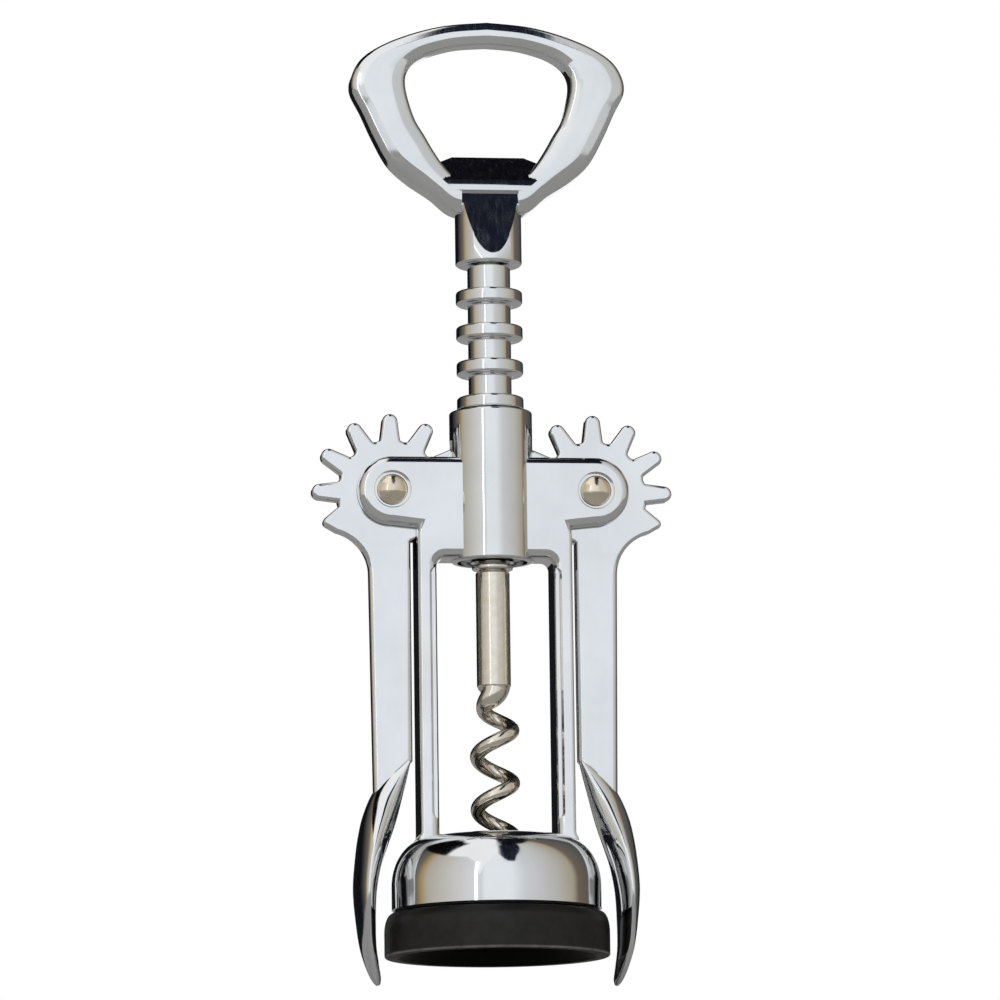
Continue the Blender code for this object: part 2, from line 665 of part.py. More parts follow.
def loop_rings(spans, sides):
    """Sections of the handle's loop between its inner and outer outlines, once round."""
    rows = [
        (*outer, *inner, depth)
        for outer, inner, depth in zip(LOOP_OUTER_SHARES, LOOP_INNER_SHARES, LOOP_DEPTH_SHARES)
    ]
    half = smooth_rows(rows, spans)
    full = half + [(-a, b, -c, d, e) for a, b, c, d, e in reversed(half[1:-1])]
    rings = []
    for outer_x, outer_z, inner_x, inner_z, depth in full:
        far = Vector((outer_x * LOOP_WIDTH / 2, 0, LOOP_BASE_Z + outer_z * LOOP_HEIGHT))
        near = Vector((inner_x * LOOP_WIDTH / 2, 0, LOOP_BASE_Z + inner_z * LOOP_HEIGHT))
        middle = (far + near) / 2
        reach = (far - near) / 2
        ring = []
        for step in range(sides):
            turn = math.tau * (step + 0.5) / sides
            out = math.copysign(abs(math.cos(turn)) ** LOOP_SQUARENESS, math.cos(turn))
            up = math.copysign(abs(math.sin(turn)) ** LOOP_SQUARENESS, math.sin(turn))
            ring.append(middle + reach * out + Vector((0, depth * LOOP_DEPTH / 2 * up, 0)))
        rings.append(ring)
    return rings


def lip_shape():
    """The cap lifter: a wedge across the foot of the loop, sharpened to a thin upper edge."""
    rings = []
    for drop, width, depth in LIP_SHARES:
        z = LIP_TOP_Z - drop * LIP_BEVEL
        x = width * LIP_WIDTH / 2
        y = (LIP_EDGE + depth * (LOOP_DEPTH - LIP_EDGE)) / 2
        rings.append([(-x, -y, z), (x, -y, z), (x, y, z), (-x, y, z)])
    return loft_shape(rings)


def scoop_shape(side):
    """A slanted cut with a round foot that pares the front or back of the hub."""
    low = HUB_TOP_Z - SCOOP_HEIGHT
    top = HUB_TOP_Z + GAP
    half = SCOOP_WIDTH / 2
    outline = [(-half, top)] + arc((0, low + half), half, 180, 360, 10) + [(half, top)]
    face = side * HUB_RADIUS
    slope = side * SCOOP_DEPTH / SCOOP_HEIGHT
    inner = [(x, face - slope * (z - low), z) for x, z in outline]
    outer = [(x, face + side * OVERRUN, z) for x, z in outline]
    return loft_shape([inner, outer])


def make_handle(look):
    handle = object_of("handle", mesh_from("handle", loft_shape(loop_rings(3, 14), closed=True)), look)
    hub = [
        (0, HUB_TOP_Z), (HUB_RADIUS, HUB_TOP_Z), (HUB_RADIUS, HUB_BASE_Z + RING_CHAMFER),
        (HUB_RADIUS - RING_CHAMFER, HUB_BASE_Z), (0, HUB_BASE_Z),
    ]
    combine(handle, tool_of("hub_tool", revolve_shape(hub, 40, offset=0.5)), "UNION")
    combine(handle, tool_of("lip_tool", lip_shape()), "UNION")
    for side, word in ((-1, "front"), (1, "back")):
        combine(handle, tool_of(f"{word}_scoop_tool", scoop_shape(side)), "DIFFERENCE")
    socket_top = HUB_BASE_Z + HUB_SOCKET_DEPTH
    socket = [
        (0, socket_top), (SHAFT_RADIUS + GAP, socket_top),
        (SHAFT_RADIUS + GAP, HUB_BASE_Z - OVERRUN), (0, HUB_BASE_Z - OVERRUN),
    ]
    combine(handle, tool_of("socket_tool", revolve_shape(socket, RACK_STEPS)), "DIFFERENCE")
    cross_hole = pin_rod(HANDLE_PIN_RADIUS + GAP, 2 * (HUB_RADIUS + OVERRUN))
    combine(handle, tool_of("hub_cross_tool", cross_hole, (0.0, 0.0, handle_pin_z())), "DIFFERENCE")
    return handle


def main():
    clear_scene()
    chrome = material("polished_chrome", (0.78, 0.8, 0.83), 0.12, 1.0)
    nickel = material("nickel_steel", (0.7, 0.66, 0.58), 0.18, 1.0)
    plastic = material("black_plastic", (0.03, 0.028, 0.026), 0.45, 0.0)
    make_frame(chrome)
    make_collar(plastic)
    pin_mesh = mesh_from("pivot_pin", revolve_shape(pin_profile(), RACK_STEPS))
    pin_mesh.materials.append(nickel)
    make_pin(pin_mesh, "left_pivot_pin", -1)
    make_pin(pin_mesh, "right_pivot_pin", 1)
    make_levers(chrome)
    make_rack(chrome)
    make_washer(nickel)
    make_worm(nickel)
    make_handle(chrome)
    make_handle_pin(nickel)


main()
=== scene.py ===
"""Looks of the wing corkscrew: fine castings, their finishes, the studio and the camera.

Metres, +Z up, and the front looks along -Y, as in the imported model.
"""

import math

import bmesh
import bpy
from mathutils import Matrix, Vector


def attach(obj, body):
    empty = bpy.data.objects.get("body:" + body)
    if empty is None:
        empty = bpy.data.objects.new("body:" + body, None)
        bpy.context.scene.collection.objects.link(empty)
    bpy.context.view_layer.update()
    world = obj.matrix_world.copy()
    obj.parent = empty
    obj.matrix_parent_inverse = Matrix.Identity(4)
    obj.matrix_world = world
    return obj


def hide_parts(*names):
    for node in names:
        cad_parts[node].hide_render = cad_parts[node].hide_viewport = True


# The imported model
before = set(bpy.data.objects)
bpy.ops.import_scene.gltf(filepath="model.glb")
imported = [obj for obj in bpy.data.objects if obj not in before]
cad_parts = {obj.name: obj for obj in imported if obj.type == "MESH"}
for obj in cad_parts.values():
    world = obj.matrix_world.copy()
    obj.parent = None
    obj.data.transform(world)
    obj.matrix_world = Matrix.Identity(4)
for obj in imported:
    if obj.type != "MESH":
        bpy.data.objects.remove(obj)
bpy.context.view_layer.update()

# Room between pieces, and how far a cutter reaches past what it cuts
GAP = 0.0003
OVERRUN = 0.002

# Gear train
RING_PITCH = 0.00666
TEETH_PER_TURN = 12
TEETH_FROM_LEVEL = 7
TOOTH_TIP_WIDTH = 0.0029
TOOTH_FOOT_WIDTH = 0.0037
PITCH_RADIUS = RING_PITCH * TEETH_PER_TURN / math.tau
TIP_RADIUS = PITCH_RADIUS + 0.0019
ROOT_RADIUS = PITCH_RADIUS - 0.00267
RING_RADIUS = 0.0062
RING_HEIGHT = 0.0026
RING_EDGE = 0.00055
GROOVE_FILLET = 0.0004
GROOVE_RADIUS = RING_RADIUS - 0.0019 - GAP
PIVOT_SPREAD = RING_RADIUS + PITCH_RADIUS
PIVOT_Z = 0.0911
PIVOT_PIN_RADIUS = 0.002

# Levers
LEVER_THICKNESS = 0.0032
TOOTH_EDGE = 0.00065
ARM_EDGE = 0.0011
ARM_EDGE_START = 0.0085
ARM_EDGE_BLEND = 0.008
ARM_WIDTH = 0.0078
ARM_TAPER = 0.0005
ARM_INSET = 0.0036
ARM_LENGTH = 0.0565
ARM_FILLET = 0.0079
ARM_FILLET_DROP = 0.0152
STUB_REACH = 0.0129
STUB_ROUND = 0.00095
STUB_TURN = 206
PADDLE_LENGTH = 0.0411
PADDLE_WIDTH = 0.0154
PADDLE_CROWN = 0.0029
PADDLE_LENS = 1.35
PADDLE_RIM = 0.00035
PADDLE_ROOT_SINK = 0.0006
PADDLE_CLEARANCE = 0.0014
PADDLE_BELLY_SHARE = 0.73

# Frame casting
SLEEVE_RADIUS = 0.0077
SLEEVE_EDGE = 0.0005
SLEEVE_BORE_RADIUS = RING_RADIUS + GAP
EAR_RADIUS = 0.0063
EAR_SLANT = 0.0005
FRAME_DEPTH = 0.0098
EAR_EDGE = 0.0016
LEG_EDGE = 0.0017
LEG_SIDE_EDGE = 0.0007
SPOT_RADIUS = 0.0033
SPOT_DEPTH = 0.0008
SPOT_RIM_DEPTH = 0.0002
SPOT_RIM_WIDTH = 0.0003
RIVET_RADIUS = 0.0028
RIVET_DOME_SHARE = 0.45
LEG_GAP = 0.001
LEG_WIDTH = 0.0035
LEG_OUTER = PIVOT_SPREAD - ARM_INSET - LEG_GAP
LEG_INNER = LEG_OUTER - LEG_WIDTH
LEG_STEP = 0.001
LEG_STEP_DEPTH = 0.00065
LEG_STEP_SLANT = 0.00045
LEG_STEP_CORNER = 0.0012
LEG_STEP_FOOT = 0.003
LEG_STEP_HEAD = 0.0017
LEG_FOOT = 0.0016
WINDOW_CORNER = 0.0015
BELL_RADIUS = 0.0193
BELL_CROWN_RADIUS = 0.0124
BELL_SHOULDER = 0.009
BELL_HEIGHT = 0.0137
BELL_WALL = 0.0024
BELL_MOUTH_RADIUS = 0.0103

# Bottle collar
COLLAR_RIM_Z = 0.0051
COLLAR_HEIGHT = 0.008
COLLAR_RADIUS = 0.0207
COLLAR_BORE_RADIUS = 0.0153
COLLAR_SHOULDER = 0.0036
COLLAR_SPIGOT = 0.0035
COLLAR_LIP = 0.0004
COLLAR_FLARE = 0.003

# Worm and handle
SHAFT_RADIUS = 0.0023
SHANK_RADIUS = 0.00315
SHANK_LENGTH = 0.0212
WASHER_RADIUS = 0.0038
WASHER_THICKNESS = 0.0011
WORM_RADIUS = 0.00325
WORM_WIRE_RADIUS = 0.00135
WORM_POINT_RADIUS = 0.0002
WORM_PITCH = 0.0098
WORM_LENGTH = 0.0456
WORM_BLEND = 0.0065
HUB_RADIUS = 0.0062
HUB_HEIGHT = 0.0135
HUB_SOCKET_DEPTH = 0.0085
SHAFT_REACH = 0.0082
CROSS_PIN_RADIUS = 0.0009
CROSS_PIN_RISE = 0.0038
SCOOP_HEIGHT = 0.0118
SCOOP_DEPTH = 0.0031
SCOOP_WIDTH = 0.0106
LOOP_WIDTH = 0.0514
LOOP_HEIGHT = 0.0372
LOOP_DEPTH = 0.0076
LOOP_FACET = 0.0011
LOOP_FACET_TILT = 16.5
LOOP_EDGE = 0.0015
LIP_WIDTH = 0.0192
LIP_RISE = 0.0117
LIP_BEVEL = 0.0049
LIP_EDGE = 0.0012

# Heights
BELL_BASE_Z = COLLAR_RIM_Z + COLLAR_HEIGHT + GAP
BELL_TOP_Z = BELL_BASE_Z + BELL_HEIGHT
BRIDGE_Z = PIVOT_Z - 0.0126
SLEEVE_BASE_Z = BRIDGE_Z - 0.0004
SLEEVE_TOP_Z = SLEEVE_BASE_Z + 0.0282
HUB_BASE_Z = PIVOT_Z + RING_PITCH * 5.5 + RING_HEIGHT / 2 + 0.0048
HUB_TOP_Z = HUB_BASE_Z + HUB_HEIGHT
WASHER_TOP_Z = SLEEVE_BASE_Z - GAP
SHANK_TOP_Z = WASHER_TOP_Z - WASHER_THICKNESS - GAP
SHANK_BASE_Z = SHANK_TOP_Z - SHANK_LENGTH
LOOP_BASE_Z = HUB_TOP_Z - 0.0046
LIP_TOP_Z = LOOP_BASE_Z + LIP_RISE

# Half of the loop from its foot round to its top: shares of half its width and of its height
LOOP_OUTER_SHARES = (
    (0.0, 0.02), (0.25, 0.02), (0.42, 0.108), (0.59, 0.185), (0.73, 0.275), (0.835, 0.405),
    (0.92, 0.535), (1.0, 0.655), (0.965, 0.76), (0.86, 0.84), (0.64, 0.918), (0.33, 0.978),
    (0.0, 1.0),
)
LOOP_INNER_SHARES = (
    (0.0, 0.186), (0.2, 0.19), (0.3, 0.235), (0.4, 0.335), (0.47, 0.42), (0.53, 0.49),
    (0.575, 0.58), (0.602, 0.67), (0.59, 0.735), (0.53, 0.79), (0.41, 0.835), (0.22, 0.872),
    (0.0, 0.885),
)
LOOP_DEPTH_SHARES = (1.0, 1.0, 1.0, 1.0, 0.98, 0.96, 0.95, 0.94, 0.92, 0.86, 0.8, 0.76, 0.75)

# The lip's rows from its top down: shares of the bevel's height, of the width and of the depth
LIP_SHARES = ((0.0, 0.7, 0.0), (0.27, 1.0, 0.27), (1.0, 0.92, 1.0), (1.38, 0.7, 1.0))

# The paddle from the arm down to its tip: shares of length, sweep, width, outer and inner crown
PADDLE_SHARES = (
    (1.0, 0.0, 0.2, 0.25, 0.1), (0.93, 0.2, 0.27, 0.75, 0.45), (0.83, 0.47, 0.42, 1.08, 0.85),
    (0.73, 0.66, 0.66, 1.16, 0.98), (0.64, 0.81, 0.85, 1.03, 0.96), (0.54, 0.93, 0.97, 0.86, 0.84),
    (0.42, 1.0, 1.0, 0.76, 0.73), (0.28, 0.99, 0.93, 0.62, 0.6), (0.17, 0.95, 0.8, 0.5, 0.5),
    (0.08, 0.85, 0.6, 0.4, 0.38), (0.025, 0.77, 0.38, 0.28, 0.28), (0.0, 0.73, 0.16, 0.12, 0.12),
)
PADDLE_SWEEP = (
    COLLAR_RADIUS + PADDLE_CLEARANCE + PADDLE_CROWN * PADDLE_BELLY_SHARE
    - (PIVOT_SPREAD - ARM_INSET + PADDLE_ROOT_SINK)
)


# Shape helpers
def mesh_from(name, shape, angle=35):
    bmesh.ops.recalc_face_normals(shape, faces=shape.faces)
    mesh = bpy.data.meshes.new(name)
    shape.to_mesh(mesh)
    shape.free()
    mesh.shade_smooth()
    mesh.set_sharp_from_angle(angle=math.radians(angle))
    return mesh


def object_of(name, shape, place=(0.0, 0.0, 0.0), angle=35):
    made = bpy.data.objects.new(name, mesh_from(name, shape, angle))
    made.location = place
    bpy.context.scene.collection.objects.link(made)
    return made


def revolve(profile, steps=128, offset=0.0):
    shape = bmesh.new()
    rings = []
    for radius, height in profile:
        if radius == 0:
            rings.append([shape.verts.new((0, 0, height))])
            continue
        turns = [math.tau * (step + offset) / steps for step in range(steps)]
        rings.append([
            shape.verts.new((radius * math.cos(turn), radius * math.sin(turn), height))
            for turn in turns
        ])
    pairs = list(zip(rings, rings[1:]))
    if len(rings[0]) > 1:
        pairs.append((rings[-1], rings[0]))
    for upper, lower in pairs:
        for step in range(steps):
            after = (step + 1) % steps
            corners = [
                upper[step % len(upper)], upper[after % len(upper)],
                lower[after % len(lower)], lower[step % len(lower)],
            ]
            face = list(dict.fromkeys(corners))
            if len(face) > 2:
                shape.faces.new(face)
    return shape


def loft(rings, closed=False):
    shape = bmesh.new()
    made = [[shape.verts.new(point) for point in ring] for ring in rings]
    pairs = list(zip(made, made[1:]))
    if closed:
        pairs.append((made[-1], made[0]))
    for one, two in pairs:
        for step in range(len(one)):
            after = (step + 1) % len(one)
            shape.faces.new((one[step], one[after], two[after], two[step]))
    if not closed:
        shape.faces.new(made[0])
        shape.faces.new(made[-1])
    return shape


def arc(centre, radius, start, end, steps):
    points = []
    for step in range(steps + 1):
        turn = math.radians(start + (end - start) * step / steps)
        points.append((centre[0] + radius * math.cos(turn), centre[1] + radius * math.sin(turn)))
    return points


def smooth_rows(rows, spans):
    found = []
    last = len(rows) - 1
    for index in range(last):
        near = [rows[max(index - 1, 0)], rows[index], rows[index + 1], rows[min(index + 2, last)]]
        for step in range(spans):
            t = step / spans
            weights = (
                (-t + 2 * t**2 - t**3) / 2, (2 - 5 * t**2 + 3 * t**3) / 2,
                (t + 4 * t**2 - 3 * t**3) / 2, (-(t**2) + t**3) / 2,
            )
            found.append(tuple(
                sum(weight * row[place] for weight, row in zip(weights, near))
                for place in range(len(rows[0]))
            ))
    found.append(tuple(rows[-1]))
    return found


def inset_outline(points, distances):
    moved = []
    for index, here in enumerate(points):
        before = Vector(here) - Vector(points[index - 1])
        after = Vector(points[(index + 1) % len(points)]) - Vector(here)
        one = Vector((-before.y, before.x)).normalized()
        two = Vector((-after.y, after.x)).normalized()
        mitre = (one + two) / (1 + one.dot(two))
        moved.append(tuple(Vector(here) + mitre * distances[index]))
    return moved


def rounded_plate(points, depth, edges, steps=8):
    """A plate in the XZ plane; each point of its outline comes with the radius of its edge."""
    front = []
    for step in range(steps + 1):
        turn = math.pi / 2 * step / steps
        outline = inset_outline(points, [edge * (1 - math.sin(turn)) for edge in edges])
        front.append([
            (x, -depth / 2 + edge * (1 - math.cos(turn)), z) for (x, z), edge in zip(outline, edges)
        ])
    return loft(front + [[(x, -y, z) for x, y, z in ring] for ring in reversed(front)])


def disc(radius, thickness, steps=96):
    points = arc((0, 0), radius, 0, 360 - 360 / steps, steps - 1)
    return loft([[(x, y, z) for x, z in points] for y in (-thickness / 2, thickness / 2)])


def worked(base, steps):
    """Works Booleans into the base's mesh; each step is a tool object and what it does."""
    for tool, operation in steps:
        cut = base.modifiers.new("cut", "BOOLEAN")
        cut.operation = operation
        cut.object = tool
        cut.solver = "EXACT"
    bpy.context.view_layer.update()
    seen = base.evaluated_get(bpy.context.evaluated_depsgraph_get())
    mesh = bpy.data.meshes.new_from_object(seen)
    base.modifiers.clear()
    base.data = mesh
    for tool, _ in steps:
        bpy.data.objects.remove(tool)
    return base


def finish_piece(piece, body, slot, look, *nodes):
    mesh = piece.data
    mesh.materials.clear()
    mesh.materials.append(look)
    mesh.shade_smooth()
    mesh.set_sharp_from_angle(angle=math.radians(35))
    weights = piece.modifiers.new("face_weights", "WEIGHTED_NORMAL")
    weights.keep_sharp = True
    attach(piece, body)
    if nodes:
        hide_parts(*nodes)
    return piece


# Materials
class Look:
    """A material under construction: makes and links shader nodes."""

    def __init__(self, name, colour, metallic, roughness):
        self.made = bpy.data.materials.new(name)
        self.made.use_nodes = True
        self.tree = self.made.node_tree
        self.shader = self.tree.nodes["Principled BSDF"]
        self.shader.inputs["Base Color"].default_value = (*colour, 1)
        self.shader.inputs["Metallic"].default_value = metallic
        self.shader.inputs["Roughness"].default_value = roughness
        self.place = self.tree.nodes.new("ShaderNodeTexCoord").outputs["Object"]

    def node(self, kind, inputs=None, **settings):
        made = self.tree.nodes.new(kind)
        for key, value in settings.items():
            setattr(made, key, value)
        for key, value in (inputs or {}).items():
            if isinstance(value, bpy.types.NodeSocket):
                self.tree.links.new(value, made.inputs[key])
            else:
                made.inputs[key].default_value = value
        return made

    def noise(self, scale, detail=3.0, stretch=None, roughness=0.5):
        vector = self.place
        if stretch:
            vector = self.node("ShaderNodeMapping", {"Vector": vector, "Scale": stretch}).outputs[0]
        inputs = {"Vector": vector, "Scale": scale, "Detail": detail, "Roughness": roughness}
        return self.node("ShaderNodeTexNoise", inputs).outputs["Fac"]

    def ramp(self, factor, stops, interpolation="LINEAR"):
        made = self.node("ShaderNodeValToRGB", {"Fac": factor})
        made.color_ramp.interpolation = interpolation
        elements = made.color_ramp.elements
        while len(elements) < len(stops):
            elements.new(0.5)
        for element, (position, colour) in zip(elements, stops):
            element.position = position
            element.color = (*colour, 1)
        return made.outputs["Color"]

    def mix(self, factor, one, two):
        made = self.node("ShaderNodeMix", data_type="RGBA")
        sockets = [socket for socket in made.inputs if socket.enabled]
        for socket, value in zip(sockets, (factor, one, two)):
            if isinstance(value, bpy.types.NodeSocket):
                self.tree.links.new(value, socket)
            else:
                socket.default_value = (*value, 1)
        return next(socket for socket in made.outputs if socket.enabled)

    def span(self, factor, low, high):
        inputs = {"Value": factor, "From Min": 0.3, "From Max": 0.7, "To Min": low, "To Max": high}
        return self.node("ShaderNodeMapRange", inputs).outputs["Result"]

    def bump(self, height, distance, strength=1.0, normal=None):
        inputs = {"Height": height, "Distance": distance, "Strength": strength}
        if normal:
            inputs["Normal"] = normal
        return self.node("ShaderNodeBump", inputs).outputs["Normal"]

    def into(self, socket, value):
        self.tree.links.new(value, self.shader.inputs[socket])


def chrome_look(name, low, high, waviness):
    """Bright plate over a polished casting: faint waves, polishing marks and a slight bloom."""
    look = Look(name, high, 1.0, 0.08)
    cloud = look.noise(90.0, 4.0)
    look.into("Base Color", look.ramp(cloud, ((0.35, low), (0.65, high))))
    marks = look.noise(1500.0, 2.0, (1.0, 1.0, 0.06))
    look.into("Roughness", look.span(marks, 0.05, 0.12))
    waves = look.bump(look.noise(150.0, 2.0), waviness)
    fine = look.bump(marks, 0.0000012, 1.0, waves)
    look.into("Normal", fine)
    return look.made


def nickel_look(name, low, high, mottle):
    """Nickel-plated steel: warmer, with a mottled drawn surface."""
    look = Look(name, high, 1.0, 0.16)
    cloud = look.noise(700.0, 4.0)
    look.into("Base Color", look.ramp(cloud, ((0.35, low), (0.65, high))))
    look.into("Roughness", look.span(look.noise(1600.0, 3.0), 0.1, 0.24))
    look.into("Normal", look.bump(look.noise(900.0, 3.0), mottle))
    return look.made


def plastic_look(name):
    """Moulded black plastic: satin, with a fine grain and a little dust; painted shade makes
    everything inside the outer wall's radius near black, and a painted highlight lightens the
    bottom rim's edge.
    """
    look = Look(name, (0.016, 0.015, 0.014), 0.0, 0.42)
    cloud = look.noise(400.0, 5.0)
    outside = look.ramp(cloud, ((0.3, (0.012, 0.011, 0.01)), (0.75, (0.024, 0.022, 0.021))))
    sides = look.node("ShaderNodeSeparateXYZ", {"Vector": look.place}).outputs
    flat = look.node("ShaderNodeCombineXYZ", {"X": sides["X"], "Y": sides["Y"]}).outputs[0]
    out = look.node("ShaderNodeVectorMath", {0: flat}, operation="LENGTH").outputs["Value"]
    # Painted shade: inside the outer wall's radius (bore, underside ring, inner cone and the
    # shoulder under the bell) the colour drops to near black
    limits = {"Value": out, "From Min": COLLAR_RADIUS - 0.0004, "From Max": COLLAR_RADIUS - 0.0002}
    clear_of_painted_shade = look.node("ShaderNodeMapRange", limits).outputs[0]
    # Painted highlight: a light band along the bottom rim's edge, broken up by the cloud
    high, low = COLLAR_RIM_Z + 0.0005, COLLAR_RIM_Z + 0.0002
    limits = {"Value": sides["Z"], "From Min": high, "From Max": low}
    rim = look.node("ShaderNodeMapRange", limits).outputs[0]
    rim = look.node("ShaderNodeMath", {0: rim, 1: cloud}, operation="MULTIPLY").outputs[0]
    dust_and_rim_highlight = look.mix(rim, outside, (0.4, 0.38, 0.35))
    # Near-black painted shade inside the outer radius; grain with the painted rim highlight outside
    look.into("Base Color", look.mix(clear_of_painted_shade, (0.002, 0.0018, 0.0016), dust_and_rim_highlight))
    look.shader.inputs["Specular IOR Level"].default_value = 0.3
    look.into("Roughness", look.span(look.noise(2500.0, 3.0), 0.34, 0.5))
    look.into("Normal", look.bump(look.noise(5000.0, 2.0), 0.00001))
    return look.made


CHROME = chrome_look("cast_chrome", (0.755, 0.765, 0.775), (0.815, 0.825, 0.835), 0.000018)
TURNED = chrome_look("turned_chrome", (0.755, 0.765, 0.775), (0.815, 0.825, 0.835), 0.000006)
NICKEL = nickel_look("drawn_nickel", (0.78, 0.72, 0.61), (0.85, 0.8, 0.71), 0.000008)
BRIGHT_NICKEL = nickel_look("bright_nickel", (0.78, 0.74, 0.68), (0.84, 0.81, 0.76), 0.000004)
RIVET = nickel_look("rivet_nickel", (0.78, 0.69, 0.54), (0.88, 0.79, 0.64), 0.000006)
PLASTIC = plastic_look("moulded_black")


# Frame casting
def frame_outline():
    half = [(0, BRIDGE_Z)]
    corner = (LEG_INNER - WINDOW_CORNER, BRIDGE_Z - WINDOW_CORNER)
    half += arc(corner, WINDOW_CORNER, 90, 0, 10)
    sole = BELL_TOP_Z - BELL_WALL * 0.9
    half.append((LEG_INNER, sole))
    half.append((LEG_OUTER + LEG_FOOT / 2, sole))
    half += arc((LEG_OUTER + LEG_FOOT, BELL_TOP_Z + LEG_FOOT / 2), LEG_FOOT, 222, 180, 8)
    half.append((LEG_OUTER, PIVOT_Z - EAR_RADIUS - EAR_SLANT * 4))
    half.append((LEG_OUTER, PIVOT_Z - EAR_RADIUS - EAR_SLANT))
    half += arc((PIVOT_SPREAD, PIVOT_Z), EAR_RADIUS, -90, 90, 48)
    half.append((0, PIVOT_Z + EAR_RADIUS))
    return half + [(-x, z) for x, z in reversed(half) if x > 0]


def frame_edges(points):
    low = PIVOT_Z - EAR_RADIUS - EAR_SLANT * 2
    high = PIVOT_Z + EAR_RADIUS - GAP
    edges = []
    for x, z in points:
        outside = abs(x) > LEG_OUTER - GAP
        if z > high or (z > low and outside):
            edges.append(EAR_EDGE)
        else:
            edges.append(LEG_SIDE_EDGE if outside else LEG_EDGE)
    return edges


def bell_profile():
    swell = BELL_RADIUS - BELL_CROWN_RADIUS
    shoulder_z = BELL_TOP_Z - BELL_SHOULDER
    foot = 0.0004
    profile = [(BELL_RADIUS - foot, BELL_BASE_Z), (BELL_RADIUS, BELL_BASE_Z + foot)]
    profile += arc((0, 0), 1, 0, 90, 24)
    curve = [
        (BELL_CROWN_RADIUS + swell * x, shoulder_z + BELL_SHOULDER * z) for x, z in profile[2:]
    ]
    mouth = [(BELL_MOUTH_RADIUS, BELL_TOP_Z), (BELL_MOUTH_RADIUS, BELL_TOP_Z - BELL_WALL)]
    inside = [
        (BELL_CROWN_RADIUS + (swell - BELL_WALL) * x, shoulder_z + (BELL_SHOULDER - BELL_WALL) * z)
        for x, z in arc((0, 0), 1, 90, 0, 12)
    ]
    return profile[:2] + curve + mouth + inside + [(BELL_RADIUS - BELL_WALL, BELL_BASE_Z)]


def sleeve_profile():
    radius = SLEEVE_RADIUS - SLEEVE_EDGE
    top = arc((radius, SLEEVE_TOP_Z - SLEEVE_EDGE), SLEEVE_EDGE, 90, 0, 6)
    foot = arc((radius, SLEEVE_BASE_Z + SLEEVE_EDGE), SLEEVE_EDGE, 0, -90, 6)
    return [(0, SLEEVE_TOP_Z)] + top + foot + [(0, SLEEVE_BASE_Z)]


def spot_face(pivot, face):
    """The round recess that seats a rivet's head, with a chamfered rim."""
    surface = FRAME_DEPTH / 2
    rim = SPOT_RADIUS + SPOT_RIM_WIDTH
    levels = (
        (SPOT_RADIUS, surface - SPOT_DEPTH), (SPOT_RADIUS, surface - SPOT_RIM_DEPTH),
        (rim, surface + SPOT_RIM_DEPTH / 2), (rim, surface + OVERRUN / 2),
    )
    rings = [
        [(x, face * y, z) for x, z in arc((0, 0), radius, 0, 356.25, 95)] for radius, y in levels
    ]
    return object_of("spot", loft(rings), pivot)


def leg_step(side, face):
    """A round-ended pocket for the leg's thinner inner flange, with a rib left outside it."""
    low, high = BELL_TOP_Z + LEG_STEP_FOOT, BRIDGE_Z - LEG_STEP_HEAD
    inner, outer = LEG_INNER - 0.001, LEG_INNER + LEG_STEP
    corner = LEG_STEP_CORNER
    outline = arc((outer - corner, low + corner), corner, -90, 0, 6)
    outline += arc((outer - corner, high - corner), corner, 0, 90, 6)
    outline += [(inner, high), (inner, low)]
    floor = face * (FRAME_DEPTH / 2 - LEG_STEP_DEPTH)
    slope = LEG_STEP_SLANT / LEG_STEP_DEPTH
    levels = ((floor, 0.0), (floor + face * OVERRUN, slope * OVERRUN))
    rings = []
    for y, spread in levels:
        rings.append([(side * (x + spread * (x > inner)), y, z) for x, z in outline])
    return object_of("leg_step", loft(rings))


def make_frame():
    outline = frame_outline()
    casting = object_of("frame_casting", rounded_plate(outline, FRAME_DEPTH, frame_edges(outline)))
    bore = [
        (0, SLEEVE_TOP_Z + OVERRUN), (SLEEVE_BORE_RADIUS, SLEEVE_TOP_Z + OVERRUN),
        (SLEEVE_BORE_RADIUS, BRIDGE_Z - OVERRUN), (0, BRIDGE_Z - OVERRUN),
    ]
    steps = [
        (object_of("sleeve", revolve(sleeve_profile())), "UNION"),
        (object_of("bell", revolve(bell_profile())), "UNION"),
        (object_of("bore", revolve(bore, 96, 0.5)), "DIFFERENCE"),
    ]
    for side in (-1, 1):
        pivot = (side * PIVOT_SPREAD, 0, PIVOT_Z)
        slot = disc(TIP_RADIUS + GAP, LEVER_THICKNESS + 2 * GAP)
        steps.append((object_of("slot", slot, pivot), "DIFFERENCE"))
        hole = disc(PIVOT_PIN_RADIUS + GAP, FRAME_DEPTH + 2 * OVERRUN, 48)
        steps.append((object_of("hole", hole, pivot), "DIFFERENCE"))
        for face in (-1, 1):
            steps.append((spot_face(pivot, face), "DIFFERENCE"))
            steps.append((leg_step(side, face), "DIFFERENCE"))
    finish_piece(worked(casting, steps), "frame", "polished_chrome", CHROME, "frame")


